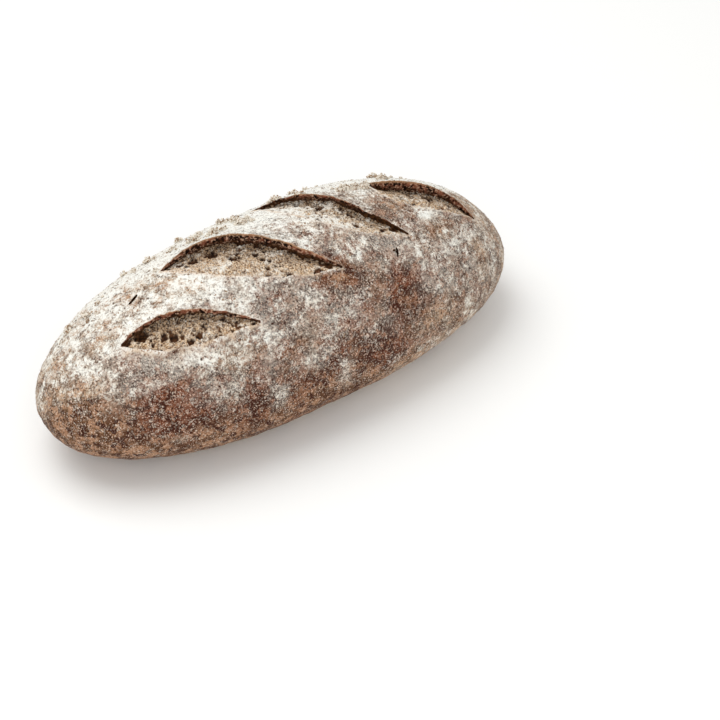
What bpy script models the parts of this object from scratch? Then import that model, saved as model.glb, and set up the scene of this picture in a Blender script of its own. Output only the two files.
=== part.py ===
"""Rye roll: a long oval roll baked on a flat stone, with four slanting slashes across its top.

The long axis is X, the underside lies flat on z = 0, and the slashes opened towards -Y.
Each opened slash has a near lip that stays low, a floor of crumb that slopes down behind it,
and a far lip that baked into a raised ear with a hollow under it.
"""

import math
from collections import namedtuple

import bmesh
import bpy
from mathutils import Vector

MM = 0.001

# The body of the roll
LENGTH = 171.0 * MM
WIDTH = 74.0 * MM                # at mid-length
CROWN_HEIGHT = 55.5 * MM         # the top of the crown above the underside, without the ears
WAIST_HEIGHT = 19.0 * MM         # the widest line above the underside
BELLY_DEPTH = 24.0 * MM          # how deep the belly would hang below the waist if left round
PLAN_FULLNESS = 2.375            # 2 is an ellipse seen from above, more is fuller at the ends
CROWN_FALL = 1.324               # how fast the crown drops towards the ends, 1 is an ellipse
BELLY_FALL = 1.10                # the same for the belly
SPREAD = 0.039                   # how much wider the +X end is than the middle

# The mesh of the body, in cells along, across and up; even, so that a point lies at each tip
CELLS_ALONG = 46
CELLS_ACROSS = 22
CELLS_UP = 12

# A slash runs from one tip to the other. near and far are how wide it opened to each side of
# the line between the tips. A positive lean moves that side's widest place towards the +X tip.
Slash = namedtuple("Slash", "left right near near_lean far far_lean ear")
SLASHES = [
    Slash((-62.0 * MM, -8.0 * MM), (-23.0 * MM, -24.5 * MM), 4.8 * MM, -0.2, 3.8 * MM, -0.25, 1.5 * MM),
    Slash((-38.5 * MM, 7.0 * MM), (10.0 * MM, -21.0 * MM), 6.6 * MM, 0.0, 8.2 * MM, -0.35, 3.0 * MM),
    Slash((3.0 * MM, 19.0 * MM), (38.0 * MM, -18.0 * MM), 8.2 * MM, 0.1, 3.8 * MM, -0.4, 2.2 * MM),
    Slash((41.0 * MM, 9.0 * MM), (69.0 * MM, -13.4 * MM), 9.2 * MM, -0.28, 4.3 * MM, 0.24, 2.2 * MM),
]
TIP_OPENING = 0.3 * MM           # half of the width of a slash at its tips
NEAR_DEPTH = 1.2 * MM            # the step from the near lip down to the crumb
FAR_DEPTH = 5.0 * MM             # the depth of the crumb under the ear
TIP_DEPTH = 0.4 * MM
UNDERCUT = 2.0 * MM              # how far the hollow reaches under the ear
EAR_THICKNESS = 2.0 * MM
EAR_SPAN = 9.0 * MM              # how far behind the far lip the ear has blended away
EAR_CLEARANCE = 8.0 * MM         # how far a cutter stands above the crust

CUTTER_CELLS_ALONG = 22
CUTTER_CELLS_ACROSS = 4
CUTTER_LEVELS = 3                # floor, underside of the ear, crust and clear of the crust


def clear_scene():
    for old in list(bpy.data.objects):
        bpy.data.objects.remove(old, do_unlink=True)


def new_collection(name):
    collection = bpy.data.collections.new(name)
    bpy.context.scene.collection.children.link(collection)
    return collection


def crust_material():
    """Floured rye crust: dull brown, quite rough."""
    material = bpy.data.materials.new("floured rye crust")
    material.use_nodes = True
    shader = material.node_tree.nodes["Principled BSDF"]
    shader.inputs["Base Color"].default_value = (0.33, 0.22, 0.13, 1.0)
    shader.inputs["Roughness"].default_value = 0.85
    shader.inputs["Metallic"].default_value = 0.0
    return material


def fullness(along):
    """How full the body is at a place along it, from 1 at mid-length to 0 at either tip."""
    return max(0.0, 1.0 - min(abs(along), 1.0) ** PLAN_FULLNESS) ** (1.0 / PLAN_FULLNESS)


def half_width(along):
    return WIDTH / 2.0 * (1.0 + SPREAD * along)


def crown(x, y):
    """The height of the smooth crown above a place in plan, without ears."""
    along = 2.0 * x / LENGTH
    full = max(fullness(along), 1e-6)
    across = min(abs(y) / (half_width(along) * full), 1.0)
    rise = (CROWN_HEIGHT - WAIST_HEIGHT) * full ** CROWN_FALL
    return WAIST_HEIGHT + rise * math.sqrt(1.0 - across ** 2)


def opened(place, lean):
    """How far open one side of a slash is, from 0 at the tips to 1 at its widest place."""
    shifted = place - lean * (1.0 - place ** 2)
    return max(0.0, 1.0 - shifted ** 2)


def slash_frame(slash):
    """The middle of a slash, the way to its +X tip, the way to its far lip, and half its length."""
    left = Vector(slash.left)
    right = Vector(slash.right)
    run = (right - left) / 2.0
    forward = run.normalized()
    return (left + right) / 2.0, forward, Vector((-forward.y, forward.x)), run.length


def ear_lift(x, y):
    """How much the ears raise the crust at a place in plan."""
    lift = 0.0
    for slash in SLASHES:
        middle, forward, away, half_length = slash_frame(slash)
        offset = Vector((x, y)) - middle
        place = offset.dot(forward) / half_length
        if abs(place) >= 1.0:
            continue
        width = opened(place, slash.far_lean)
        behind = (offset.dot(away) - slash.far * width) / EAR_SPAN
        blend = max(0.0, 1.0 - abs(behind)) ** 2
        lift = max(lift, slash.ear * width * blend)
    return lift


def gridded_cube(mesh, along, across, up):
    """A cube from -1 to 1 whose faces are divided into the given cells along each axis."""
    bmesh.ops.create_cube(mesh, size=2.0)
    for axis, cells in enumerate((along, across, up)):
        edges = []
        for edge in mesh.edges:
            run = edge.verts[1].co - edge.verts[0].co
            if abs(run[axis]) > 0.5 * run.length:
                edges.append(edge)
        bmesh.ops.subdivide_edges(mesh, edges=edges, cuts=cells - 1, use_grid_fill=True)


def on_skin(cube_point):
    """The place on the round body for a point of the cube that it starts from."""
    ray = Vector([math.tan(part * math.pi / 4.0) for part in cube_point]).normalized()
    reach = math.hypot(ray.y, ray.z) ** PLAN_FULLNESS + abs(ray.x) ** PLAN_FULLNESS
    along, across, up = ray * reach ** (-1.0 / PLAN_FULLNESS)
    full = max(fullness(along), 1e-3)
    x = LENGTH / 2.0 * along
    y = half_width(along) * across
    if up > 0.0:
        z = WAIST_HEIGHT + (CROWN_HEIGHT - WAIST_HEIGHT) * up * full ** (CROWN_FALL - 1.0)
        z += ear_lift(x, y)
    else:
        z = WAIST_HEIGHT + BELLY_DEPTH * up * full ** (BELLY_FALL - 1.0)
    return Vector((x, y, z))


def finish_object(mesh, name, collection, material=None):
    bmesh.ops.recalc_face_normals(mesh, faces=mesh.faces)
    data = bpy.data.meshes.new(name)
    mesh.to_mesh(data)
    mesh.free()
    data.shade_smooth()
    if material:
        data.materials.append(material)
    made = bpy.data.objects.new(name, data)
    collection.objects.link(made)
    return made


def body(collection, material):
    """The roll before it is slashed: a full oval, cut off flat where it lay on the stone."""
    mesh = bmesh.new()
    gridded_cube(mesh, CELLS_ALONG, CELLS_ACROSS, CELLS_UP)
    for vertex in mesh.verts:
        vertex.co = on_skin(vertex.co)
    whole = mesh.verts[:] + mesh.edges[:] + mesh.faces[:]
    bmesh.ops.bisect_plane(mesh, geom=whole, plane_co=(0, 0, 0), plane_no=(0, 0, -1), clear_outer=True)
    rim = [edge for edge in mesh.edges if edge.is_boundary]
    bmesh.ops.edgeloop_fill(mesh, edges=rim)
    return finish_object(mesh, "rye_roll", collection, material)


def cutter(slash, name, collection):
    """The opening of one slash, as a solid that stands clear of the crust."""
    middle, forward, away, half_length = slash_frame(slash)
    mesh = bmesh.new()
    gridded_cube(mesh, CUTTER_CELLS_ALONG, CUTTER_CELLS_ACROSS, CUTTER_LEVELS)
    for vertex in mesh.verts:
        place, across, level = vertex.co
        near = slash.near * opened(place, slash.near_lean) + TIP_OPENING
        far = slash.far * opened(place, slash.far_lean) + TIP_OPENING
        share = (across + 1.0) / 2.0
        width = opened(place, (slash.near_lean + slash.far_lean) / 2.0)
        sideways = -near + (near + far) * share
        spot = middle + forward * half_length * place + away * sideways
        lift = slash.ear * opened(place, slash.far_lean) * share
        floor = TIP_DEPTH + width * (NEAR_DEPTH + (FAR_DEPTH - NEAR_DEPTH) * share)
        under_ear = floor * EAR_THICKNESS / FAR_DEPTH
        height = crown(spot.x, spot.y) + lift
        step = round((level + 1.0) * CUTTER_LEVELS / 2.0)
        height += (-floor, -under_ear, 0.0, EAR_CLEARANCE)[step]
        if step == 0:
            spot += away * UNDERCUT * width * share
        vertex.co = (spot.x, spot.y, height)
    made = finish_object(mesh, name, collection)
    made.hide_render = True
    made.display_type = "WIRE"
    return made


def cut(target, tool):
    boolean = target.modifiers.new(tool.name, "BOOLEAN")
    boolean.operation = "DIFFERENCE"
    boolean.solver = "EXACT"
    boolean.object = tool


clear_scene()
parts = new_collection("rye roll")
cutters = new_collection("cutters")
roll = body(parts, crust_material())
for number, slash in enumerate(SLASHES, start=1):
    cut(roll, cutter(slash, f"slash {number}", cutters))
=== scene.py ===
"""A floured rye roll: its crust, the open crumb in its slashes, and the flour and bran on it.

The form is worked out again here, finer than the solid that the frame holds. Its length is
that solid's, and the body's other sizes are the ones that the solid was built from. Lengths
are in metres, and X runs along the roll.
"""

import math
from collections import namedtuple

import bmesh
import bpy
import numpy as np
from mathutils import Matrix, Vector, noise


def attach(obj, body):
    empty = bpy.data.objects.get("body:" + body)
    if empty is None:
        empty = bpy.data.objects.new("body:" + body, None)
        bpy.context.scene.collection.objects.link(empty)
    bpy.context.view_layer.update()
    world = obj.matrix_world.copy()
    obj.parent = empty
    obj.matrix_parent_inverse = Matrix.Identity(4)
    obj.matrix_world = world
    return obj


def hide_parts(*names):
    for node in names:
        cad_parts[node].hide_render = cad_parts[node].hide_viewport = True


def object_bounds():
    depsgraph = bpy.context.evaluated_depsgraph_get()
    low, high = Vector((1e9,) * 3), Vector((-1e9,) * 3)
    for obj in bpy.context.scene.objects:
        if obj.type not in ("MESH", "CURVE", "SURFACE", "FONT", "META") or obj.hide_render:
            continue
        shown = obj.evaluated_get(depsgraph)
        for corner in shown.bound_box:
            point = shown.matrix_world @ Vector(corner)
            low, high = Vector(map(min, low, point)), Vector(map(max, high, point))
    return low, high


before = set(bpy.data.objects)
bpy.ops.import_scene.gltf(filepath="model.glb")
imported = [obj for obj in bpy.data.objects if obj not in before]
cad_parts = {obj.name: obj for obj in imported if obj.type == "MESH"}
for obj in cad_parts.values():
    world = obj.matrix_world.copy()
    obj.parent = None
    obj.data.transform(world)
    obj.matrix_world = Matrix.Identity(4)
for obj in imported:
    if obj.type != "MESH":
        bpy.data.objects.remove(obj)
cad_low, cad_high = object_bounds()

MM = 0.001

# --- The viewpoint -----------------------------------------------------------------------
# The roll is seen from its slashed side, from a little over half a metre away, with its
# narrower end nearest. It lies left of and above the middle of the picture.

VIEW_AZIMUTH = math.radians(-32.95)
VIEW_ELEVATION = math.radians(40.0)
VIEW_DISTANCE = 600.0 * MM
AIM_RIGHT = 25.9 * MM
AIM_UP = 0.55 * MM
SENSOR_WIDTH = 36.0              # this and the lens are in millimetres, as the camera takes them
LENS = 90.4

towards_viewer = Vector((
    math.sin(VIEW_AZIMUTH) * math.cos(VIEW_ELEVATION),
    -math.cos(VIEW_AZIMUTH) * math.cos(VIEW_ELEVATION),
    math.sin(VIEW_ELEVATION),
))
view_right = Vector((math.cos(VIEW_AZIMUTH), math.sin(VIEW_AZIMUTH), 0.0))
view_up = towards_viewer.cross(view_right)


def in_scene(name, data):
    """A new object in the scene, with a mesh, a camera or a light as its data."""
    made = bpy.data.objects.new(name, data)
    bpy.context.scene.collection.objects.link(made)
    return made


camera = in_scene("camera", bpy.data.cameras.new("camera"))
camera.data.sensor_width = SENSOR_WIDTH
camera.data.lens = LENS
camera.data.clip_start = 10.0 * MM
camera.location = towards_viewer * VIEW_DISTANCE
aim = view_right * AIM_RIGHT + view_up * AIM_UP
camera.rotation_euler = (aim - camera.location).to_track_quat("-Z", "Y").to_euler()
bpy.context.scene.camera = camera


# --- The crust ---------------------------------------------------------------------------
# A long oval of rye dough, baked on a flat stone until its skin set brown and finely
# wrinkled. Four slashes cut across its top opened in the oven: each near lip stayed low,
# and each far lip lifted into an ear with a hollow under it.

LENGTH = cad_high.x - cad_low.x
WIDTH = 74.0 * MM                # at mid-length; the +X end is a little wider
CROWN_HEIGHT = 55.5 * MM
WAIST_HEIGHT = 19.0 * MM
BELLY_DEPTH = 24.0 * MM
PLAN_FULLNESS = 2.375
CROWN_FALL = 1.324
BELLY_FALL = 1.10
SPREAD = 0.039
BASE_EDGE = 0.7 * MM             # how softly the flat underside turns up into the side
GIRTH_RADIUS = 36.0 * MM         # turns the angle round the roll into a distance over its skin

CRUST_CELLS = (212, 98, 70)      # along, across and up

# A slash runs from one tip to the other. near and far are how wide it opened to each side of
# the line between the tips. A positive lean moves that side's widest place towards the +X tip.
Slash = namedtuple("Slash", "left right near near_lean far far_lean ear")
SLASHES = [
    Slash((-62.0 * MM, -8.0 * MM), (-23.0 * MM, -24.5 * MM), 4.8 * MM, -0.2, 3.8 * MM, -0.25, 1.5 * MM),
    Slash((-38.5 * MM, 7.0 * MM), (10.0 * MM, -21.0 * MM), 6.6 * MM, 0.0, 8.2 * MM, -0.35, 3.0 * MM),
    Slash((3.0 * MM, 19.0 * MM), (38.0 * MM, -18.0 * MM), 8.2 * MM, 0.1, 3.8 * MM, -0.4, 2.2 * MM),
    Slash((41.0 * MM, 9.0 * MM), (69.0 * MM, -13.4 * MM), 9.2 * MM, -0.28, 4.3 * MM, 0.24, 2.2 * MM),
]
# How each slash tore, from its left tip to its right one: the height of the brown band on its
# ear and of the dark gap below that, how deep its crumb lies and how much flour fell on it,
# and how wide the pale torn ridge along its near lip is.
Tear = namedtuple("Tear", "band_left band_right gap_left gap_right depth flour_left flour_right rim")
TEARS = [
    Tear(2.2 * MM, 1.9 * MM, 0.5 * MM, 0.6 * MM, 3.8 * MM, 0.05, 0.20, 1.5 * MM),
    Tear(2.9 * MM, 2.4 * MM, 0.3 * MM, 2.4 * MM, 5.2 * MM, 0.48, 0.10, 0.8 * MM),
    Tear(1.5 * MM, 1.1 * MM, 0.7 * MM, 2.6 * MM, 4.2 * MM, 1.05, 0.30, 0.7 * MM),
    Tear(3.6 * MM, 3.4 * MM, 0.2 * MM, 0.4 * MM, 5.0 * MM, 0.30, 0.30, 0.9 * MM),
]
TIP_OPENING = 0.3 * MM
EAR_SPAN = 9.0 * MM
UNDERCUT = 1.3 * MM
NEAR_DEPTH = 0.7 * MM            # the step from the near lip down to the crumb
TIP_DEPTH = 0.3 * MM
CRUMB_BED = 2.2 * MM             # how much deeper the crust is carved, to hold the crumb


def ramp(value, start, end):
    """Rises evenly from 0 at the start to 1 at the end, and is level before and after."""
    return np.clip((value - start) / (end - start), 0.0, 1.0)


def fullness(along):
    """How full the body is at places along it, from 1 at mid-length to 0 at either tip."""
    left = 1.0 - np.minimum(np.abs(along), 1.0) ** PLAN_FULLNESS
    return np.maximum(0.0, left) ** (1.0 / PLAN_FULLNESS)


def half_width(along):
    """Half of the body's width at places along it, before it narrows towards its tips."""
    return WIDTH / 2.0 * (1.0 + SPREAD * along)


def crown(x, y):
    """The height of the smooth crown above places in plan, without ears."""
    along = 2.0 * x / LENGTH
    full = np.maximum(fullness(along), 1e-6)
    across = np.minimum(np.abs(y) / (half_width(along) * full), 1.0)
    rise = (CROWN_HEIGHT - WAIST_HEIGHT) * full ** CROWN_FALL
    return WAIST_HEIGHT + rise * np.sqrt(1.0 - across ** 2)


def opened(place, lean):
    """How far open one side of a slash is, from 0 at its tips to 1 at its widest place."""
    shifted = place - lean * (1.0 - place ** 2)
    return np.maximum(0.0, 1.0 - shifted ** 2)


def slash_frame(slash):
    """The middle of a slash, the way to its +X tip, the way to its far lip, and half its length."""
    left = np.array(slash.left)
    right = np.array(slash.right)
    half_length = np.linalg.norm(right - left) / 2.0
    forward = (right - left) / (2.0 * half_length)
    return (left + right) / 2.0, forward, np.array((-forward[1], forward[0])), half_length


def in_slash(slash, x, y):
    """Places in plan as seen from a slash: the place along it, and how far towards its far lip."""
    middle, forward, away, half_length = slash_frame(slash)
    place = ((x - middle[0]) * forward[0] + (y - middle[1]) * forward[1]) / half_length
    sideways = (x - middle[0]) * away[0] + (y - middle[1]) * away[1]
    return place, sideways


def in_plan(slash, place, sideways):
    """The x and y of places as seen from a slash."""
    middle, forward, away, half_length = slash_frame(slash)
    x = middle[0] + forward[0] * half_length * place + away[0] * sideways
    y = middle[1] + forward[1] * half_length * place + away[1] * sideways
    return x, y


def ear_lift(x, y):
    """How much the ears raise the crust at places in plan."""
    lift = np.zeros_like(x)
    for slash in SLASHES:
        place, sideways = in_slash(slash, x, y)
        width = np.where(np.abs(place) < 1.0, opened(place, slash.far_lean), 0.0)
        behind = (sideways - slash.far * width) / EAR_SPAN
        lift = np.maximum(lift, slash.ear * width * np.maximum(0.0, 1.0 - np.abs(behind)) ** 2)
    return lift


def girth(y, z):
    """The distance over the skin from the ridge line, negative towards the slashed side."""
    return GIRTH_RADIUS * np.arctan2(y, z - WAIST_HEIGHT)


def noise_at(points, size, octaves=1, shift=0.0):
    """Smooth noise of about -1 to 1 at each point, with lumps of the given size."""
    offset = Vector((shift, shift * 0.7, -shift * 1.3))
    scaled = (points / size).tolist()
    if octaves == 1:
        return np.array([noise.noise(Vector(p) + offset) for p in scaled])
    return np.array([noise.fractal(Vector(p) + offset, 0.6, 2.0, octaves) for p in scaled])


# Large odd numbers that scatter the digits of a cell's place
SALT_FACTOR = 2654435
CELL_FACTORS = (73856093, 19349663, 83492791)
MIXING_FACTOR = np.uint64(2246822519)


def chances(cells, salt):
    """A fixed random number from 0 to 1 for each cell of a grid."""
    mixed = np.full(len(cells), salt * SALT_FACTOR + 97, dtype=np.uint64)
    for column, factor in zip(cells.T.astype(np.int64), CELL_FACTORS):
        mixed ^= (column * factor).astype(np.uint64)
        mixed = (mixed ^ (mixed >> np.uint64(15))) * MIXING_FACTOR
        mixed &= np.uint64(0xFFFFFFFF)
    return (mixed >> np.uint64(8)).astype(np.float64) / 2.0 ** 24


def pits_at(points, spacing, smallest, largest, share, salt=0):
    """The depth of round pits at each point, in space or in plan, one to each cell of a grid of
    the given spacing. Only a share of them is there at all."""
    home = np.floor(points / spacing).astype(np.int64)
    depths = np.zeros(len(points))
    axes = range(points.shape[1])
    for step in np.ndindex((3,) * len(axes)):
        cells = home + np.array(step) - 1
        centre = np.stack([chances(cells, salt + axis) for axis in axes], axis=1)
        apart = points - (cells + centre) * spacing
        radius = smallest + (largest - smallest) * chances(cells, salt + 5) ** 2
        radius = np.where(chances(cells, salt + 7) < share, radius, 0.0)
        depths = np.maximum(depths, np.sqrt(np.maximum(radius ** 2 - (apart ** 2).sum(axis=1), 0.0)))
    return depths


def gridded_cube(mesh, cells):
    """A cube from -1 to 1 whose faces are divided into the given cells along each axis."""
    bmesh.ops.create_cube(mesh, size=2.0)
    for axis, count in enumerate(cells):
        edges = []
        for edge in mesh.edges:
            run = edge.verts[1].co - edge.verts[0].co
            if abs(run[axis]) > 0.5 * run.length:
                edges.append(edge)
        bmesh.ops.subdivide_edges(mesh, edges=edges, cuts=count - 1, use_grid_fill=True)


def read(items, name, width=1, kind=np.int32):
    """A property of each point, face or corner of a mesh, one row each."""
    flat = np.empty(len(items) * width, dtype=kind)
    items.foreach_get(name, flat)
    return flat if width == 1 else flat.reshape(-1, width)


def places(data):
    """The points of a mesh."""
    return read(data.vertices, "co", 3, np.float32).astype(np.float64)


def facing(data):
    """The outward direction at each point of a mesh."""
    return read(data.vertices, "normal", 3, np.float32).astype(np.float64)


def put_places(data, points):
    """Moves the points of a mesh."""
    data.vertices.foreach_set("co", points.astype(np.float32).ravel())
    data.update()


def as_object(mesh, name, material):
    """Turns a bmesh into a smooth-shaded object in the scene."""
    data = bpy.data.meshes.new(name)
    mesh.to_mesh(data)
    mesh.free()
    data.shade_smooth()
    if material:
        data.materials.append(material)
    return in_scene(name, data)


def on_skin(cube_points):
    """The places on the whole round body for points of the cube that it starts from."""
    ray = np.tan(cube_points * math.pi / 4.0)
    ray /= np.linalg.norm(ray, axis=1)[:, None]
    reach = np.hypot(ray[:, 1], ray[:, 2]) ** PLAN_FULLNESS + np.abs(ray[:, 0]) ** PLAN_FULLNESS
    along, across, up = (ray * reach[:, None] ** (-1.0 / PLAN_FULLNESS)).T
    full = np.maximum(fullness(along), 1e-3)
    x = LENGTH / 2.0 * along
    y = half_width(along) * across
    crown_z = WAIST_HEIGHT + (CROWN_HEIGHT - WAIST_HEIGHT) * up * full ** (CROWN_FALL - 1.0)
    belly_z = WAIST_HEIGHT + BELLY_DEPTH * up * full ** (BELLY_FALL - 1.0)
    z = np.where(up > 0.0, crown_z + ear_lift(x, y), belly_z)
    return np.stack((x, y, z), axis=1)


# Handling left the sifted flour in drifts in some places, and took it off others: place along,
# distance over the skin from the ridge, the patch's two half sizes, and how much flour it adds
# or takes.
Patch = namedtuple("Patch", "x girth half_length half_height amount")


def patch(x, girth, half_length, half_height, amount):
    """A patch whose places and sizes are given in millimetres."""
    return Patch(x * MM, girth * MM, half_length * MM, half_height * MM, amount)


PATCHES = [
    # The narrow end, and round the first slash
    patch(-86, 0, 10, 34, -0.70),
    patch(-68, 0, 8, 5, -0.30),
    patch(-66, -7, 9, 4, -0.20),
    patch(-72, -23, 5, 4, 0.18),
    patch(-64, -24, 5, 4.5, -0.30),
    patch(-76, -28, 7, 6, -0.20),
    patch(-56, -17, 4, 3, -0.18),
    patch(-60, -30, 6, 4, 0.20),
    patch(-57, -37, 8, 4, -0.22),
    patch(-56, -57, 3, 1.8, 0.45),
    patch(-47, 8, 7, 7, -0.45),
    # The drifts along the ridge and behind it
    patch(-20, 21, 30, 12, 1.10),
    patch(14, 25, 20, 12, 1.10),
    patch(46, 19, 20, 11, 1.20),
    patch(62, 13, 14, 9, 0.80),
    patch(66, 6, 8, 8, 0.40),
    # Round and between the other slashes
    patch(-27, -12, 6, 4, 0.15),
    patch(-13, -19, 8, 7, -0.38),
    patch(-8, -19, 5, 2, 0.50),
    patch(4, -19, 7, 5, -0.60),
    patch(17, -18, 4, 4, 0.45),
    patch(12, -25, 10, 8, -0.28),
    patch(8, 2, 5, 3, 0.15),
    patch(4, -7, 8, 3.5, -0.28),
    patch(16, 1, 4, 4, 0.25),
    patch(25, 13, 5, 4, 0.40),
    patch(34, 3, 6, 4, 0.30),
    patch(34, -12, 5, 5, -0.28),
    patch(45, -4, 6, 6, -0.38),
    patch(49, -14, 3.2, 3.2, 0.85),
    patch(40, -24, 4, 3.5, 0.34),
    # Down the flank
    patch(-40, -43, 6, 8, 0.42),
    patch(-36, -30, 13, 5, 0.28),
    patch(-24, -36, 5, 6, 0.26),
    patch(-24, -53, 4, 5, 0.34),
    patch(-17, -37, 5, 4, -0.15),
    patch(-13, -45, 6, 4.5, 0.36),
    patch(-5, -38, 6, 4, 0.26),
    patch(0, -55, 3, 4, 0.60),
    patch(6, -31, 5, 4, 0.18),
    patch(18, -53, 10, 6, -0.32),
    patch(26, -38, 8, 8, -0.42),
    patch(40, -36, 5, 4, 0.20),
    # The wide end
    patch(52, -20, 7, 3, -0.15),
    patch(56, -18, 5, 3, 0.35),
    patch(64, -21, 5, 8, -0.20),
    patch(57, -29, 10, 4, 0.34),
    patch(56, -37, 6, 3, -0.15),
    patch(62, -36, 6, 5, 0.14),
    patch(72, -47, 6, 5, 0.22),
    patch(77, -14, 6, 12, 0.22),
]

# Places that rubbed bare in the basket and baked tawny, and how much flour each lost
RUBBED = [
    patch(8, -24, 6, 4, 0.25),
    patch(-10, -56, 8, 4, 0.05),
    patch(42, -6, 9, 6, 0.05),
    patch(51, -22, 7, 4, 0.20),
    patch(38, -50, 12, 6, 0.10),
    patch(-49.4, 1.4, 2.6, 1.3, 0.70),
    patch(48, 11, 9, 6, 0),
]
SCAR = patch(-50.2, -24.4, 2.6, 0.9, 1.0)    # torn skin below the first slash
BAREST_SKIN = -0.15
THICKEST_FLOUR = 1.7


def on_patch(spot, x, over):
    """1 at the middle of a patch, and fading out past its half sizes."""
    apart = ((x - spot.x) / spot.half_length) ** 2 + ((over - spot.girth) / spot.half_height) ** 2
    return np.exp(-apart)


def dusting(x, y, z):
    """How much flour lies on the crust at each place. From 1 on it hides the crust, and below
    0 even stray grains are rare. The narrow end has a coat that is thick on the ridge and thins
    out quickly down the flank, the wide end a thinner and more even one, and both coats run out
    at the foot of the far side."""
    over = girth(y, z)
    thick_end = 0.96 * ramp(over, -53.0 * MM, -9.0 * MM) ** 1.35 - 0.12
    even_end = 0.22 + 0.14 * ramp(over, -60.0 * MM, 0.0)
    along = ramp(x, -6.0 * MM, 26.0 * MM)
    cover = thick_end + (even_end - thick_end) * along * along * (3.0 - 2.0 * along)
    cover = cover * ramp(over, 62.0 * MM, 28.0 * MM)
    for spot in PATCHES:
        cover = cover + spot.amount * on_patch(spot, x, over)
    return np.clip(cover, BAREST_SKIN, THICKEST_FLOUR)


def shape_crust(data):
    """Turns the gridded cube into the roll, with the uneven skin that baking gives."""
    points = on_skin(places(data))
    points[:, 2] = BASE_EDGE * np.logaddexp(0.0, points[:, 2] / BASE_EDGE)
    put_places(data, points)
    outward = facing(data)
    x, y, z = points.T
    off_base = ramp(z, 0.5 * MM, 3.5 * MM)
    cover = np.clip(dusting(x, y, z), 0.0, 1.0)
    swell = 0.40 * MM * noise_at(points, 26.0 * MM)
    swell += 0.22 * MM * noise_at(points, 7.0 * MM, octaves=2, shift=3.0)
    wrinkle = 0.13 * MM * noise_at(points, 2.2 * MM, octaves=2, shift=9.0)
    wrinkle -= 0.6 * pits_at(points, 4.0 * MM, 0.4 * MM, 0.9 * MM, 0.30)
    powder = 0.10 * MM * cover * noise_at(points, 1.5 * MM, octaves=2, shift=21.0)
    relief = off_base * (swell + wrinkle + powder)
    relief += (1.0 - off_base) * 0.05 * MM * noise_at(points, 4.0 * MM, octaves=2, shift=5.0)
    points += outward * relief[:, None]
    points[:, 2] = np.maximum(points[:, 2], 0.0)
    put_places(data, points)


# The levels of a cutter from its floor up: how deep each lies, as a share of the height of the
# band on the ear's cut edge and as a share of the hollow below that, and how far it reaches
# under the ear. The top level stands clear of the crust instead.
HOLLOW_TOP = 1.25                # in band heights
CUTTER_LEVELS = np.array((
    (HOLLOW_TOP, 1.0, 0.6),
    (HOLLOW_TOP, 1.0, 0.85),
    (HOLLOW_TOP, 0.75, 1.0),
    (HOLLOW_TOP, 0.45, 0.95),
    (HOLLOW_TOP, 0.0, 0.55),
    (1.0, 0.0, 0.10),
    (0.5, 0.0, 0.04),
    (0.0, 0.0, 0.0),
    (0.0, 0.0, -0.25),
))
TOP_LEVEL = len(CUTTER_LEVELS) - 1
CUTTER_CLEARANCE = 8.0 * MM
CUTTER_CELLS = (150, 10, TOP_LEVEL)
LIPS_APART = 50.0 * MM           # each lip takes its wander from its own lane of the noise


def ragged(number, place, side):
    """How a lip wanders from its smooth line, because dough tears unevenly."""
    lane = np.full_like(place, side * LIPS_APART)
    level = np.full_like(place, number * LIPS_APART)
    points = np.stack((place * 25.0 * MM, lane, level), axis=1)
    wander = 0.45 * MM * noise_at(points, 5.0 * MM, octaves=2)
    return wander + 0.30 * MM * noise_at(points, 1.5 * MM, octaves=3, shift=4.0)


# Where the third ear tore further back, and where it tore less: place along, span and amount
KINKS = [(-0.02, 0.14, 1.2 * MM), (0.42, 0.25, -0.5 * MM)]
KINKED_SLASH = 2


def lips(number, place):
    """How far the near and the far lip lie from the line between a slash's tips."""
    slash = SLASHES[number]
    fade = 1.0 - place ** 4
    near = slash.near * opened(place, slash.near_lean) + TIP_OPENING
    far = slash.far * opened(place, slash.far_lean) + TIP_OPENING
    if number == KINKED_SLASH:
        for kink_place, span, amount in KINKS:
            far = far + amount * np.exp(-((place - kink_place) / span) ** 2)
    return near + fade * ragged(number, place, 1.0), far + fade * ragged(number, place, 2.0)


def opened_mid(slash, place):
    """How far open a slash is, between the leans of its two lips."""
    return opened(place, (slash.near_lean + slash.far_lean) / 2.0)


def crumb_depth(number, place, share):
    """How deep the crumb lies under the crust's own line, from the near lip to the far one."""
    fall = NEAR_DEPTH + (TEARS[number].depth - NEAR_DEPTH) * np.clip(share, 0.0, 1.0) ** 1.5
    return TIP_DEPTH + opened_mid(SLASHES[number], place) ** 0.6 * fall


def along_tear(number, place, at_left, at_right):
    """A height that changes from one tip to the other, and shrinks only close to the tips."""
    height = at_left + (at_right - at_left) * (place + 1.0) / 2.0
    return height * opened_mid(SLASHES[number], place) ** 0.35


def band_height(number, place):
    """How tall the baked band on a slash's ear is."""
    return along_tear(number, place, TEARS[number].band_left, TEARS[number].band_right)


def gap_height(number, place):
    """How tall the dark gap below that band is."""
    return along_tear(number, place, TEARS[number].gap_left, TEARS[number].gap_right)


# Small splits in the skin: place in plan, half length, half width, depth and turn. Their
# edges wander by a noise that is new each run unless it is seeded.
SPLIT_SEED = 5
Split = namedtuple("Split", "x y half_length half_width depth turn")
SPLITS = [
    Split(-51.0 * MM, 2.9 * MM, 2.2 * MM, 0.65 * MM, 1.8 * MM, math.radians(16.0)),
    Split(30.2 * MM, -22.3 * MM, 1.9 * MM, 0.40 * MM, 1.8 * MM, math.radians(62.0)),
    Split(29.6 * MM, -21.6 * MM, 0.9 * MM, 0.38 * MM, 1.4 * MM, math.radians(10.0)),
]


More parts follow.
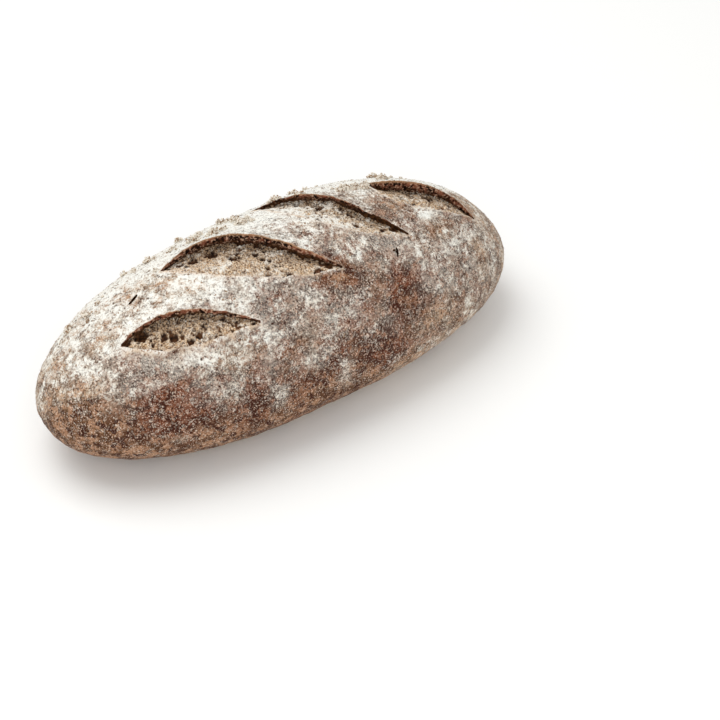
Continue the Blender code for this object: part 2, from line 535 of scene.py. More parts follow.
def add_splits(joined):
    """Adds a lens for each split to what will be cut out of the crust."""
    noise.seed_set(SPLIT_SEED)
    for split in SPLITS:
        before = len(joined.verts)
        bmesh.ops.create_icosphere(joined, subdivisions=3, radius=1.0)
        joined.verts.ensure_lookup_table()
        spot = np.array(split.x), np.array(split.y)
        z = float(crown(*spot) + ear_lift(*spot))
        place = Matrix.Translation((split.x, split.y, z)) @ Matrix.Rotation(split.turn, 4, "Z")
        place = place @ Matrix.Diagonal((split.half_length, split.half_width, split.depth, 1.0))
        lens = joined.verts[before:]
        bmesh.ops.transform(joined, matrix=place, verts=lens)
        for vertex in lens:
            vertex.co += 0.40 * MM * noise.noise_vector(vertex.co / (1.4 * MM))


TORN = 1    # the crust's second material is for what the slashes cut open


def carve_slashes(roll):
    """Cuts the four openings out of the crust, each with a hollow under its ear."""
    joined = bmesh.new()
    add_splits(joined)
    for number, slash in enumerate(SLASHES):
        away = slash_frame(slash)[2]
        piece = bmesh.new()
        gridded_cube(piece, CUTTER_CELLS)
        data = bpy.data.meshes.new("slash opening")
        piece.to_mesh(data)
        piece.free()
        place, across, level = places(data).T
        share = (across + 1.0) / 2.0
        near, far = lips(number, place)
        width = opened_mid(slash, place)
        sideways = -near + (near + far) * share
        depth = crumb_depth(number, place, share) + CRUMB_BED * width
        band = np.minimum(band_height(number, place), 0.65 * depth)
        lift = slash.ear * opened(place, slash.far_lean) * share
        step = np.rint((level + 1.0) * TOP_LEVEL / 2.0).astype(int)
        in_band, in_hollow, reach = CUTTER_LEVELS[step].T
        sunk = in_band * band + in_hollow * (depth - HOLLOW_TOP * band)
        sunk = np.where(step == TOP_LEVEL, -CUTTER_CLEARANCE, sunk)
        z = crown(*in_plan(slash, place, sideways)) + lift - sunk
        x, y = in_plan(slash, place, sideways + UNDERCUT * width * reach * share)
        points = np.stack((x, y, z), axis=1)
        torn_edge = (share > 0.99) * (sunk > 0.0)
        rough = 0.55 * MM * noise_at(points, 2.2 * MM, octaves=3, shift=number) * torn_edge
        points[:, 0] += away[0] * rough * width
        points[:, 1] += away[1] * rough * width
        put_places(data, points)
        joined.from_mesh(data)
        bpy.data.meshes.remove(data)
    bmesh.ops.recalc_face_normals(joined, faces=joined.faces)
    cutter = as_object(joined, "slash_openings", None)
    for material in roll.data.materials:
        cutter.data.materials.append(material)
    all_torn = np.full(len(cutter.data.polygons), TORN, dtype=np.int32)
    cutter.data.polygons.foreach_set("material_index", all_torn)
    boolean = roll.modifiers.new("slashes", "BOOLEAN")
    boolean.operation = "DIFFERENCE"
    boolean.solver = "MANIFOLD"
    boolean.object = cutter
    depsgraph = bpy.context.evaluated_depsgraph_get()
    carved = bpy.data.meshes.new_from_object(roll.evaluated_get(depsgraph))
    roll.modifiers.clear()
    whole = roll.data
    roll.data = carved
    bpy.data.meshes.remove(whole)
    bpy.data.objects.remove(cutter)


def set_attribute(data, name, values):
    """Notes a value on each point of a mesh, for a material or for scattering."""
    layer = data.attributes.new(name, "FLOAT", "POINT")
    layer.data.foreach_set("value", values.astype(np.float32))


def torn_lips(points):
    """How far each point is pale torn rim, and how far it is on the baked band of an ear and how
    low in that."""
    x, y, z = points.T
    sunk = crown(x, y) + ear_lift(x, y) - z
    tearing = noise_at(points, 3.0 * MM, octaves=2, shift=41.0)
    top_side = z > WAIST_HEIGHT
    rim, band, low = np.zeros((3, len(points)))
    for number, slash in enumerate(SLASHES):
        place, sideways = in_slash(slash, x, y)
        inside = np.abs(place) < 1.02
        held = np.clip(place, -1.0, 1.0)
        near, far = lips(number, held)
        within = (sideways > -near - 0.2 * MM) & (sideways < far + UNDERCUT + 0.4 * MM)
        height = np.maximum(band_height(number, held), 0.4 * MM)
        above = np.clip((height * (1.1 + 0.6 * tearing) - sunk) / (0.5 * MM), 0.0, 1.0)
        band = np.maximum(band, np.where(inside & within, above, 0.0))
        low = np.maximum(low, np.where(inside & within, ramp(sunk, 0.0, height), 0.0))
        wide = np.maximum(TEARS[number].rim * (0.8 - 0.35 * held + 0.9 * tearing), 0.45 * MM)
        torn = np.exp(-((sideways + near) / np.where(sideways < -near, wide, 0.6 * wide)) ** 2)
        far_edge = 0.35 + 0.5 * np.clip(tearing - 0.3 * held, -0.3, 0.6)
        far_edge = far_edge * np.exp(-((sideways - far) / (0.5 * MM)) ** 2) * (sideways > far)
        rim = np.maximum(rim, np.where(inside & top_side, np.maximum(torn, far_edge), 0.0))
    return rim, band, low


def pale_baked(points):
    """Where the crust baked least: low on the flanks, at both ends and on the ridge's narrow
    half, in blotches."""
    x, y, z = points.T
    over = girth(y, z)
    low_flank = ramp(over, -50.0 * MM, -62.0 * MM)
    ends = ramp(np.abs(x + 3.0 * MM), 58.0 * MM, 78.0 * MM)
    ridge = ramp(x, -15.0 * MM, -35.0 * MM) * ramp(over, -16.0 * MM, -4.0 * MM)
    blotches = 0.7 * noise_at(points, 13.0 * MM, octaves=2, shift=31.0)
    return np.clip(np.maximum(np.maximum(low_flank, ends), ridge) + blotches, 0.0, 1.0)


def cut_open(data):
    """1 at the points of what the slashes cut open, and 0 elsewhere."""
    torn = read(data.polygons, "material_index") == TORN
    corners = np.repeat(torn, read(data.polygons, "loop_total"))
    marks = np.zeros(len(data.vertices))
    marks[read(data.loops, "vertex_index")[corners]] = 1.0
    return marks


def mark_crust(data):
    """Notes on each point what the two materials and the scattering of flour and bran need."""
    points = places(data)
    x, y, z = points.T
    over = girth(y, z)
    cover = dusting(x, y, z) + 0.10 * noise_at(points, 10.0 * MM, octaves=2, shift=2.0)
    tawny = pale_baked(points)
    for spot in RUBBED:
        rubbed = on_patch(spot, x, over)
        tawny = np.maximum(tawny, rubbed)
        cover = cover - spot.amount * rubbed
    scarred = on_patch(SCAR, x, over)
    cover = np.clip(cover, BAREST_SKIN, THICKEST_FLOUR) * (1.0 - scarred) + BAREST_SKIN * scarred
    rim, band, low = torn_lips(points)
    downwards = np.clip(-facing(data)[:, 2] * 2.0 - 0.6, 0.0, 1.0)
    set_attribute(data, "flour", cover)
    set_attribute(data, "tawny", tawny)
    set_attribute(data, "rim", rim * (1.0 - scarred))
    set_attribute(data, "band", band)
    set_attribute(data, "low", low)
    set_attribute(data, "stone", ramp(z, 2.6 * MM, 0.4 * MM) * downwards)
    set_attribute(data, "cut", cut_open(data))


def linear(hex_colour):
    """An sRGB hex colour as the linear values that a shader takes."""
    parts = [int(hex_colour[start:start + 2], 16) / 255.0 for start in (1, 3, 5)]
    return tuple(p / 12.92 if p <= 0.04045 else ((p + 0.055) / 1.055) ** 2.4 for p in parts) + (1.0,)


def feed(tree, node, inputs):
    """Links each input of a node to what feeds it, or sets it to its constant or hex colour."""
    for socket, value in inputs.items():
        if isinstance(value, bpy.types.NodeSocket):
            tree.links.new(value, node.inputs[socket])
        else:
            node.inputs[socket].default_value = linear(value) if isinstance(value, str) else value


def add(tree, kind, inputs=None, give=0, **settings):
    """Adds a node with its settings and what feeds it, and gives one of its outputs."""
    node = tree.nodes.new("ShaderNode" + kind)
    for name, value in settings.items():
        setattr(node, name, value)
    feed(tree, node, inputs or {})
    return node.outputs[give]


def per_mm(size):
    """The scale of a noise whose lumps have this size in millimetres."""
    return 1.0 / (size * MM)


# A Mix node's sockets where it mixes colours: how far, the two colours, and what it gives
FAR, FIRST, SECOND = 0, 6, 7
OF_COLOURS = {"data_type": "RGBA", "give": 2}


def new_material(name):
    """A material, its node tree and its shader."""
    material = bpy.data.materials.new(name)
    material.use_nodes = True
    return material, material.node_tree, material.node_tree.nodes["Principled BSDF"]


def blended(tree, where, size, low, high, first, second, detail=2.0):
    """Two colours that give way to each other in blotches of the given size."""
    noise_value = add(tree, "TexNoise", {"Vector": where, "Scale": per_mm(size), "Detail": detail})
    factor = add(tree, "MapRange", {"Value": noise_value, "From Min": low, "From Max": high},
                 interpolation_type="SMOOTHSTEP")
    return add(tree, "Mix", {FAR: factor, FIRST: first, SECOND: second}, **OF_COLOURS)


def flour_veil(tree, where, flour):
    """How far flour hides what it lies on, grain by grain, and how thickly it drifted there. It
    drifts into patches with soft edges, and is single pale grains between them."""
    drifts = add(tree, "TexNoise", {"Vector": where, "Scale": per_mm(5.5), "Detail": 2.0})
    smears = add(tree, "TexNoise", {"Vector": where, "Scale": per_mm(1.8), "Detail": 2.0})
    lie = add(tree, "Math", {0: drifts, 1: 1.7, 2: -1.62}, operation="MULTIPLY_ADD")
    lie = add(tree, "Math", {0: smears, 1: 1.4, 2: lie}, operation="MULTIPLY_ADD")
    lie = add(tree, "Math", {0: flour, 1: lie})
    drifted = add(tree, "MapRange", {"Value": lie, "From Min": -0.12, "From Max": 1.10},
                  interpolation_type="SMOOTHSTEP")
    grain = add(tree, "TexVoronoi", {"Vector": where, "Scale": per_mm(0.38)}, give="Color")
    pinch = add(tree, "TexNoise", {"Vector": where, "Scale": per_mm(1.1), "Detail": 3.0})
    loose = add(tree, "Math", {0: grain, 1: 1.2, 2: -1.50}, operation="MULTIPLY_ADD")
    loose = add(tree, "Math", {0: pinch, 1: 1.7, 2: loose}, operation="MULTIPLY_ADD")
    scarce = add(tree, "MapRange", {"Value": flour, "From Min": -0.12, "From Max": 0.20,
                                    "To Min": -0.17, "To Max": 0.0})
    loose = add(tree, "Math", {0: loose, 1: scarce})
    veil = add(tree, "Math", {0: drifted, 1: 1.08, 2: loose}, operation="MULTIPLY_ADD")
    cracks = add(tree, "TexNoise", {"Vector": where, "Scale": per_mm(1.3), "Detail": 3.0,
                                    "Distortion": 0.9})
    cracks = add(tree, "MapRange", {"Value": cracks, "From Min": 0.57, "From Max": 0.72, "To Max": -0.8})
    veil = add(tree, "Math", {0: veil, 1: cracks})
    return add(tree, "MapRange", {"Value": veil, "To Max": 0.97}), drifted


def floured_crust():
    """Rye crust, baked dull brown and sifted with flour: matt and finely speckled, reddish
    where it is bare, and tawny low on the flanks where it baked least."""
    material, tree, shader = new_material("floured rye crust")
    where = add(tree, "TexCoord", give="Object")
    flour, tawny, rim, stone = (add(tree, "Attribute", give="Fac", attribute_name=name)
                                for name in ("flour", "tawny", "rim", "stone"))

    brown = blended(tree, where, 6.5, 0.42, 0.58, "#3d190c", "#70402b")
    brown = blended(tree, where, 2.4, 0.54, 0.66, brown, "#8c6048", detail=1.0)
    bare = blended(tree, where, 3.4, 0.42, 0.58, "#593a24", "#a47c5f", detail=3.0)
    brown = add(tree, "Mix", {FAR: tawny, FIRST: brown, SECOND: bare}, **OF_COLOURS)
    brown = blended(tree, where, 3.0, 0.47, 0.37, brown, "#3f1f13")
    haze = add(tree, "TexNoise", {"Vector": where, "Scale": per_mm(4.2), "Detail": 1.5,
                                  "Roughness": 0.6})
    haze = add(tree, "MapRange", {"Value": haze, "From Min": 0.38, "From Max": 0.64,
                                  "To Min": 0.10, "To Max": 0.38})
    near_flour = add(tree, "MapRange", {"Value": flour, "From Min": -0.04, "From Max": 0.30})
    haze = add(tree, "Math", {0: haze, 1: near_flour}, operation="MULTIPLY")
    dust = add(tree, "Mix", {FAR: tawny, FIRST: "#d9d6ca", SECOND: "#e0c5a4"}, **OF_COLOURS)
    brown = add(tree, "Mix", {FAR: haze, FIRST: brown, SECOND: dust}, **OF_COLOURS)
    brown = blended(tree, where, 0.45, 0.56, 0.71, brown, "#e2c2ac")
    brown = blended(tree, where, 0.6, 0.49, 0.33, brown, "#38190e", detail=3.0)

    ochre = blended(tree, where, 5.0, 0.40, 0.60, "#cdb78e", "#b0936a", detail=3.0)
    ochre = blended(tree, where, 2.2, 0.55, 0.68, ochre, "#856044", detail=3.0)
    ochre = blended(tree, where, 0.9, 0.52, 0.75, ochre, "#e6dcc0")
    surface = add(tree, "Mix", {FAR: stone, FIRST: brown, SECOND: ochre}, **OF_COLOURS)
    veil, drifted = flour_veil(tree, where, flour)
    flour_tone = add(tree, "Mix", {FAR: drifted, FIRST: "#e8dbc9", SECOND: "#f7f6ee"}, **OF_COLOURS)
    surface = add(tree, "Mix", {FAR: veil, FIRST: surface, SECOND: flour_tone}, **OF_COLOURS)
    ridge = blended(tree, where, 4.0, 0.40, 0.60, "#dfc8ae", "#eee7dc")
    ridge = blended(tree, where, 0.6, 0.50, 0.36, ridge, "#a5836a")
    surface = add(tree, "Mix", {FAR: rim, FIRST: surface, SECOND: ridge}, **OF_COLOURS)

    wrinkles = add(tree, "TexNoise", {"Vector": where, "Scale": per_mm(1.3), "Detail": 3.0})
    height = add(tree, "Math", {0: veil, 1: 0.35, 2: wrinkles}, operation="MULTIPLY_ADD")
    height = add(tree, "Math", {0: rim, 1: 0.8, 2: height}, operation="MULTIPLY_ADD")
    normal = add(tree, "Bump", {"Height": height, "Strength": 0.9, "Distance": 0.3 * MM})
    dull = add(tree, "MapRange", {"Value": veil, "To Min": 0.62, "To Max": 0.95})
    feed(tree, shader, {"Base Color": surface, "Roughness": dull, "Normal": normal,
                        "Specular IOR Level": 0.08})
    return material


def torn_crust():
    """Where the crust tore open: a baked band along each ear, darkened downwards as painted
    shade, with a pale upper edge, and below it torn dough painted nearly black as shade."""
    material, tree, shader = new_material("torn rye crust")
    where = add(tree, "TexCoord", give="Object")
    tawny, band, low = (add(tree, "Attribute", give="Fac", attribute_name=name)
                        for name in ("tawny", "band", "low"))

    # Painted shade: the torn faces below the bands, in the hollows under the ears and in the splits, are
    # nearly black
    torn = blended(tree, where, 1.0, 0.35, 0.65, "#2c190e", "#56371f")
    lip = blended(tree, where, 1.6, 0.42, 0.58, "#56291a", "#925c46", detail=3.0)
    # Painted shade: the lower part of each ear's band is darkened, as under the overhang
    band_foot_shade = blended(tree, where, 1.2, 0.42, 0.58, "#37190d", "#6a402a", detail=3.0)
    sunk = add(tree, "MapRange", {"Value": low, "From Min": 0.55, "From Max": 1.0},
               interpolation_type="SMOOTHSTEP")
    lip = add(tree, "Mix", {FAR: sunk, FIRST: lip, SECOND: band_foot_shade}, **OF_COLOURS)
    half_tawny = add(tree, "Math", {0: tawny, 1: 0.5}, operation="MULTIPLY")
    lip = add(tree, "Mix", {FAR: half_tawny, FIRST: lip, SECOND: "#9a6850"}, **OF_COLOURS)
    lip = blended(tree, where, 4.5, 0.47, 0.37, lip, "#2f170c", detail=3.0)
    lip = blended(tree, where, 0.8, 0.52, 0.63, lip, "#c8a48a", detail=3.0)
    # Painted shade: near-black blotches stand in for the shade in small pores of the band
    lip = blended(tree, where, 1.6, 0.46, 0.38, lip, "#180a05", detail=4.0)
    edge = add(tree, "MapRange", {"Value": low, "From Min": 0.28, "From Max": 0.0, "To Max": 0.85})
    lip = add(tree, "Mix", {FAR: edge, FIRST: lip, SECOND: "#cfa37c"}, **OF_COLOURS)
    surface = add(tree, "Mix", {FAR: band, FIRST: torn, SECOND: lip}, **OF_COLOURS)
    wrinkles = add(tree, "TexNoise", {"Vector": where, "Scale": per_mm(1.3), "Detail": 3.0})
    normal = add(tree, "Bump", {"Height": wrinkles, "Strength": 0.9, "Distance": 0.3 * MM})
    feed(tree, shader, {"Base Color": surface, "Roughness": 0.7, "Normal": normal,
                        "Specular IOR Level": 0.08})
    return material


dough = bmesh.new()
gridded_cube(dough, CRUST_CELLS)
crust = as_object(dough, "crust", floured_crust())
crust.data.materials.append(torn_crust())
shape_crust(crust.data)
carve_slashes(crust)
mark_crust(crust.data)
crust.data.set_sharp_from_angle(angle=math.radians(55.0))
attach(crust, "root")
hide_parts("rye_roll")


# --- The open crumb ----------------------------------------------------------------------
# Where a slash tore open, the inside of the roll shows: a tan sponge of thin walls round
# holes of every size. It is darkened with painted shade under the ear, and some flour fell into it.

CRUMB_CELL = 0.22 * MM
CRUMB_SIDE = 0.8 * MM            # how far the crumb runs on under the crust on each side
CRUMB_REACH = 0.97               # how far towards a slash's tips its crumb reaches
CRUMB_THICKNESS = 2.6 * MM
HOLLOW_START = 1.2 * MM          # how far before the far lip the crumb turns up towards the ear

# The largest holes in each slash: place along, share of the way to the far lip, radius in mm
CAVES = [
    [(-0.93, 0.60, 1.4), (-0.70, 0.82, 2.2), (-0.38, 0.52, 0.9), (-0.26, 0.40, 1.5),
     (-0.03, 0.16, 1.1), (0.10, 0.32, 1.2)],
    [(-0.94, 0.55, 1.5), (-0.79, 0.62, 1.3), (-0.64, 0.62, 1.8), (-0.70, 0.42, 1.0),
     (-0.44, 0.76, 2.2), (-0.21, 0.54, 1.3), (0.19, 0.56, 1.0), (0.72, 0.20, 1.3),
     (0.84, 0.85, 1.6)],
    [(-0.45, 0.85, 1.4), (-0.15, 0.80, 1.6), (0.25, 0.82, 1.3), (0.80, 0.85, 1.4)],
    [(-0.20, 0.72, 1.1), (0.12, 0.78, 2.0), (0.50, 0.70, 1.5)],
]


def bare_crumb():
    """Rye crumb: matt tan cell walls, painted dark brown inside the holes and darker towards the
    ear as shade, greyed by a little flour.
    """
    material, tree, shader = new_material("open rye crumb")
    where = add(tree, "TexCoord", give="Object")
    hole, share, flour = (add(tree, "Attribute", give="Fac", attribute_name=name)
                          for name in ("hole", "share", "flour"))

    tan = blended(tree, where, 2.2, 0.40, 0.60, "#b8936c", "#b1967b")
    tan = blended(tree, where, 1.2, 0.50, 0.34, tan, "#79593f")
    tan = blended(tree, where, 0.42, 0.47, 0.62, tan, "#ecd6b8")
    tan = blended(tree, where, 0.5, 0.50, 0.35, tan, "#4a2d19")
    # Painted shade: the crumb turns dark grey-brown towards the far lip, where the ear overhangs it
    ear_shade_crumb = blended(tree, where, 0.5, 0.38, 0.62, "#2e1b10", "#a68a6c")
    ear_shade_mask = add(tree, "MapRange", {"Value": share, "From Min": 0.35, "From Max": 0.95})
    tan = add(tree, "Mix", {FAR: ear_shade_mask, FIRST: tan, SECOND: ear_shade_crumb}, **OF_COLOURS)
    # Painted shade: the holes are coloured dark brown to nearly black by how deep they are
    pore_shade = blended(tree, where, 1.5, 0.35, 0.65, "#1f0f07", "#5c3a21")
    surface = add(tree, "Mix", {FAR: hole, FIRST: tan, SECOND: pore_shade}, **OF_COLOURS)
    outside = add(tree, "Math", {0: 1.0, 1: hole}, operation="SUBTRACT")
    veil, drifted = flour_veil(tree, where, flour)
    veil = add(tree, "Math", {0: veil, 1: outside}, operation="MULTIPLY")
    flour_tone = add(tree, "Mix", {FAR: drifted, FIRST: "#e6dac8", SECOND: "#f4f2ea"}, **OF_COLOURS)
    surface = add(tree, "Mix", {FAR: veil, FIRST: surface, SECOND: flour_tone}, **OF_COLOURS)
    grit = add(tree, "TexNoise", {"Vector": where, "Scale": per_mm(0.5), "Detail": 2.0})
    normal = add(tree, "Bump", {"Height": grit, "Strength": 0.9, "Distance": 0.2 * MM})
    feed(tree, shader, {"Base Color": surface, "Roughness": 0.9, "Normal": normal,
                        "Specular IOR Level": 0.25})
    return material


def gridded_slab(rows, columns):
    """A closed slab from -1 to 1 in plan, whose top is a grid and whose bottom is one face."""
    mesh = bmesh.new()
    bmesh.ops.create_grid(mesh, x_segments=rows, y_segments=columns, size=1.0)
    skirt = bmesh.ops.extrude_edge_only(mesh, edges=[e for e in mesh.edges if e.is_boundary])
    for part in skirt["geom"]:
        if isinstance(part, bmesh.types.BMVert):
            part.co.z = -1.0
    bmesh.ops.edgeloop_fill(mesh, edges=[e for e in mesh.edges if e.is_boundary])
    bmesh.ops.recalc_face_normals(mesh, faces=mesh.faces)
    return mesh


crumb_material = bare_crumb()
for number, slash in enumerate(SLASHES):
    half_length = slash_frame(slash)[3]
    across_length = slash.near + slash.far + UNDERCUT + 2.0 * CRUMB_SIDE
    slab = gridded_slab(round(2.0 * half_length / CRUMB_CELL), round(across_length / CRUMB_CELL))
    crumb = as_object(slab, f"crumb_{number + 1}", crumb_material)
    place, across, level = places(crumb.data).T
    place = place * CRUMB_REACH
    near, far = lips(number, place)
    width = opened_mid(slash, place)
    start = -near - CRUMB_SIDE
    end = far + (UNDERCUT + 0.2 * MM) * width + 0.2 * MM
    sideways = start + (end - start) * (across + 1.0) / 2.0
    share = (sideways + near) / (near + far)
    x, y = in_plan(slash, place, sideways)
    held = np.clip(share, 0.0, 1.0)
    line = crown(x, y) + slash.ear * opened(place, slash.far_lean) * held
    depth = crumb_depth(number, place, share)
    under = ramp(sideways, far - HOLLOW_START * width, far + UNDERCUT * width)
    gap = band_height(number, place) + gap_height(number, place) + 0.3 * MM
    depth = depth + (np.minimum(gap, depth) - depth) * under ** 1.5
    flat = np.stack((x, y, np.zeros_like(x)), axis=1)
    warp = [noise_at(flat, 1.6 * MM, octaves=2, shift=number + turn) for turn in (50.0, 60.0)]
    plan = flat[:, :2] + 0.45 * MM * np.stack(warp, axis=1)
    clustered = np.clip(0.75 + 1.6 * noise_at(flat, 5.0 * MM, shift=number + 70.0), 0.0, 1.3)
    holes = 1.3 * pits_at(plan, 2.6 * MM, 0.5 * MM, 1.15 * MM, 0.55, salt=number)
    small_holes = 1.5 * pits_at(plan, 1.4 * MM, 0.3 * MM, 0.66 * MM, 0.60, salt=number + 20)
    holes = np.maximum(holes, small_holes) * clustered
    for cave_place, cave_share, radius in CAVES[number]:
        apart = ((place - cave_place) * half_length) ** 2 + ((share - cave_share) * (near + far)) ** 2
        apart = np.sqrt(apart) + 0.5 * MM * warp[0]
        holes = np.maximum(holes, 1.5 * np.sqrt(np.maximum((radius * MM) ** 2 - apart ** 2, 0.0)))
    uneven = 0.5 * MM * noise_at(flat, 6.0 * MM, octaves=2, shift=number)
    uneven += 0.42 * MM * noise_at(flat, 1.0 * MM, octaves=3, shift=number + 3.0)
    z = line - depth + width * uneven - np.minimum(width * 1.6, 1.0) * holes
    z = np.where(level < -0.5, line - depth - CRUMB_THICKNESS, z)
    put_places(crumb.data, np.stack((x, y, z), axis=1))
    along = (place + 1.0) / 2.0
    tear = TEARS[number]
    fallen = tear.flour_left + (tear.flour_right - tear.flour_left) * along
    fallen = fallen * np.clip(1.5 - 1.1 * held, 0.2, 1.3)
    # How deep each hole is; the crumb's material paints shade into the holes by it
    set_attribute(crumb.data, "hole", ramp(holes, 0.15 * MM, 0.65 * MM))
    set_attribute(crumb.data, "share", held)
    set_attribute(crumb.data, "flour", fallen)
    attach(crumb, "root")


# --- The loose flour ---------------------------------------------------------------------
# Rye flour that was sifted over the loaf and never baked in. It lies as single pale grains,
# and where it fell thickly, on the ridge and behind it, it caked into small lacy clumps.

GRAIN_COUNT = 6500
CLUMP_COUNT = 84
GRAINS_IN_CLUMP = 44
HEAP_RADIUS = 1.7 * MM

# Where clumps gathered: place along and distance over the skin from the ridge, in mm
HEAPS = [
    (-63, 15), (-56, 19), (-44, 23), (-35, 21), (-29, 17), (-22, 15),
    (-15, 12), (-7, 18), (-5, 11), (9, 17), (18, 14), (31, 10),
    (36, 9), (39, 7), (50, 14), (60, 15),
]


def kept(data, name):
    """The values of an attribute that was noted on a mesh's points."""
    return read(data.attributes[name].data, "value", kind=np.float32).astype(np.float64)


def strewn_places(count, weights, seed):
    """Chooses places on the crust, more where its points weigh more, and the way each one faces."""
    draw = np.random.default_rng(seed)
    crust.data.calc_loop_triangles()
    corners = read(crust.data.loop_triangles, "vertices", 3)
    first, second, third = places(crust.data)[corners].transpose(1, 0, 2)
    facings = np.cross(second - first, third - first)
    areas = np.linalg.norm(facings, axis=1)
    facings /= np.maximum(areas, 1e-15)[:, None]
    chances_there = areas * weights[corners].mean(axis=1) * (facings[:, 2] > -0.3)
    chosen = draw.choice(len(areas), count, p=chances_there / chances_there.sum())
    u, v = draw.random((2, count, 1))
    folded = u + v > 1.0
    u, v = np.where(folded, 1.0 - u, u), np.where(folded, 1.0 - v, v)
    spots = first[chosen] + u * (second - first)[chosen] + v * (third - first)[chosen]
    return spots, facings[chosen], draw


def turns(count, draw):
    """A random rotation matrix for each of many small things."""
    made = np.linalg.qr(draw.normal(size=(count, 3, 3)))[0]
    made[:, :, 0] *= np.sign(np.linalg.det(made))[:, None]
    return made


def joined_copies(name, shape, material, centres, frames, sizes):
    """One mesh of many copies of a small shape, each with its own place, turn and sizes."""
    base = np.array([vertex.co for vertex in shape.verts])
    faces = np.array([[vertex.index for vertex in face.verts] for face in shape.faces])
    shape.free()
    corners = np.einsum("nij,nkj->nki", frames, base[None] * sizes[:, None, :]) + centres[:, None, :]
    shifts = np.arange(len(centres))[:, None, None] * len(base)
    data = bpy.data.meshes.new(name)
    data.from_pydata(corners.reshape(-1, 3), [], (faces[None] + shifts).reshape(-1, faces.shape[1]))
    data.shade_smooth()
    data.materials.append(material)
    made = in_scene(name, data)
    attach(made, "root")


def flour_grain():
    """A rounded grain of 20 faces, with a radius of 1."""
    mesh = bmesh.new()
    bmesh.ops.create_icosphere(mesh, subdivisions=1, radius=1.0)
    mesh.verts.index_update()
    return mesh


def raw_flour():
    """Unbaked rye flour: matt and nearly white, with a few tan grains of hull in it."""
    material, tree, shader = new_material("loose rye flour")
    where = add(tree, "TexCoord", give="Object")
    colour = blended(tree, where, 0.9, 0.49, 0.63, "#ece4d6", "#9c7d60")
    feed(tree, shader, {"Base Color": colour, "Roughness": 0.95, "Specular IOR Level": 0.15})
    return material


skin = places(crust.data)
on_skin_only = (1.0 - kept(crust.data, "cut")) ** 4 * (skin[:, 2] > 4.0 * MM)
flour_there = np.clip(kept(crust.data, "flour"), 0.0, 1.0)
where_grains_lie = on_skin_only * (0.12 + flour_there * (1.1 - flour_there))
over_ridge = girth(skin[:, 1], skin[:, 2])
behind = np.exp(-((over_ridge - 20.0 * MM) / (9.0 * MM)) ** 2)
short_of_wide_end = ramp(skin[:, 0], 75.0 * MM, 35.0 * MM)
clustered = np.clip(5.0 * noise_at(skin, 7.0 * MM, shift=12.0) - 0.4, 0.03, 3.0)
heaped_up = np.zeros(len(skin))
for heap_x, heap_girth in HEAPS:
    apart = (skin[:, 0] - heap_x * MM) ** 2 + (over_ridge - heap_girth * MM) ** 2
    heaped_up = np.maximum(heaped_up, np.exp(-apart / HEAP_RADIUS ** 2))
where_clumps_lie = on_skin_only * (0.03 * behind * short_of_wide_end * clustered + heaped_up)

flour_material = raw_flour()
spots, outward, draw = strewn_places(GRAIN_COUNT, where_grains_lie, seed=11)
radii = MM * (0.07 + 0.10 * draw.random((GRAIN_COUNT, 1)) ** 2) * draw.uniform(0.7, 1.3, (GRAIN_COUNT, 3))
joined_copies("flour_grains", flour_grain(), flour_material, spots + outward * 0.4 * radii,
              turns(GRAIN_COUNT, draw), radii)

spots, outward, draw = strewn_places(CLUMP_COUNT, where_clumps_lie, seed=23)
spread = MM * (0.75 + 1.45 * draw.random((CLUMP_COUNT, 1, 1)) ** 2)
heaped = draw.normal(size=(CLUMP_COUNT, GRAINS_IN_CLUMP, 3))
heaped /= np.linalg.norm(heaped, axis=2)[:, :, None]
heaped *= spread * draw.random((CLUMP_COUNT, GRAINS_IN_CLUMP, 1)) ** 0.5
height = (heaped * outward[:, None]).sum(axis=2)[:, :, None]
heaped += outward[:, None] * (np.abs(height) * 0.85 - height)
heaped = (heaped + spots[:, None]).reshape(-1, 3)
radii = (spread * draw.uniform(0.09, 0.24, (CLUMP_COUNT, GRAINS_IN_CLUMP, 1))).reshape(-1, 1)
radii = radii * draw.uniform(0.7, 1.3, (len(radii), 3))
joined_copies("flour_clumps", flour_grain(), flour_material, heaped,
              turns(len(heaped), draw), radii)


# --- The bran ----------------------------------------------------------------------------
# Flakes of hull from the wholemeal, thin and flat, brown or straw-coloured, stuck to the skin.

BRAN_COUNT = 900
BRAN_THICKNESS = 0.11 * MM


def bran():
    """Hull flakes: dry and dull, each of one colour from dark brown to straw."""
    material, tree, shader = new_material("rye bran")
    where = add(tree, "TexCoord", give="Object")
    colour = blended(tree, where, 1.8, 0.40, 0.60, "#5a4a3e", "#a08468", detail=0.0)
    feed(tree, shader, {"Base Color": colour, "Roughness": 0.7})
    return material


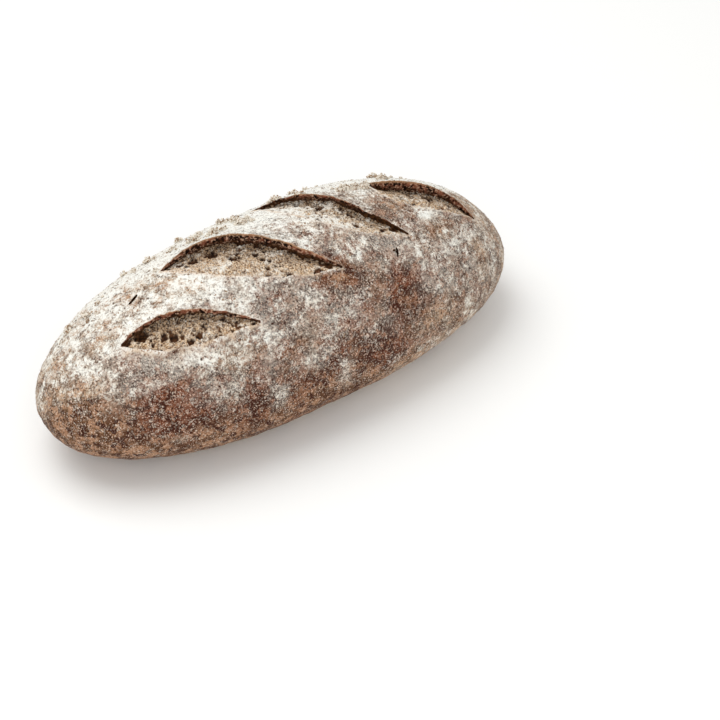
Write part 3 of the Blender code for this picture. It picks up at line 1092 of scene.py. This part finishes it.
flake = bmesh.new()
bmesh.ops.create_cone(flake, segments=6, radius1=1.0, radius2=0.8, depth=1.0, cap_ends=True)
bmesh.ops.triangulate(flake, faces=flake.faces)
flake.verts.index_update()
spots, outward, draw = strewn_places(BRAN_COUNT, on_skin_only * (0.5 + flour_there), seed=37)
along = np.cross(outward, draw.normal(size=(BRAN_COUNT, 3)))
along /= np.linalg.norm(along, axis=1)[:, None]
frames = np.stack((along, np.cross(outward, along), outward), axis=2)
lengths = MM * (0.20 + 0.35 * draw.random(BRAN_COUNT) ** 2)
widths = lengths * draw.uniform(0.4, 0.9, BRAN_COUNT)
sizes = np.stack((lengths, widths, np.full(BRAN_COUNT, BRAN_THICKNESS)), axis=1)
joined_copies("bran_flakes", flake, bran(), spots + outward * 0.3 * BRAN_THICKNESS, frames, sizes)


# --- The table and the light -------------------------------------------------------------
# A pale matt table under a large soft overhead light, with a weaker one from the front and an
# even white glow from all round.

TABLE_HALF_WIDTH = 3.0
SKY_STRENGTH = 0.62

table_mesh = bmesh.new()
bmesh.ops.create_grid(table_mesh, x_segments=1, y_segments=1, size=TABLE_HALF_WIDTH)
table_material, table_tree, table_shader = new_material("pale matt table")
feed(table_tree, table_shader, {"Base Color": "#fcfcfa", "Roughness": 0.9})
table = as_object(table_mesh, "table", table_material)


def soft_light(name, place, size, power):
    """A square soft light that faces the roll."""
    data = bpy.data.lights.new(name, "AREA")
    data.size = size
    data.energy = power
    lamp = in_scene(name, data)
    lamp.location = place
    lamp.rotation_euler = (-Vector(place)).to_track_quat("-Z", "Y").to_euler()


soft_light("overhead", (-0.15, 0.28, 0.88), 0.7, 4.2)
soft_light("front", (-0.5, -0.9, 0.6), 0.9, 3.8)
world = bpy.data.worlds.new("studio")
world.use_nodes = True
sky = world.node_tree.nodes["Background"]
feed(world.node_tree, sky, {"Color": (1.0, 1.0, 1.0, 1.0), "Strength": SKY_STRENGTH})
bpy.context.scene.world = world
bpy.context.scene.view_settings.view_transform = "Standard"
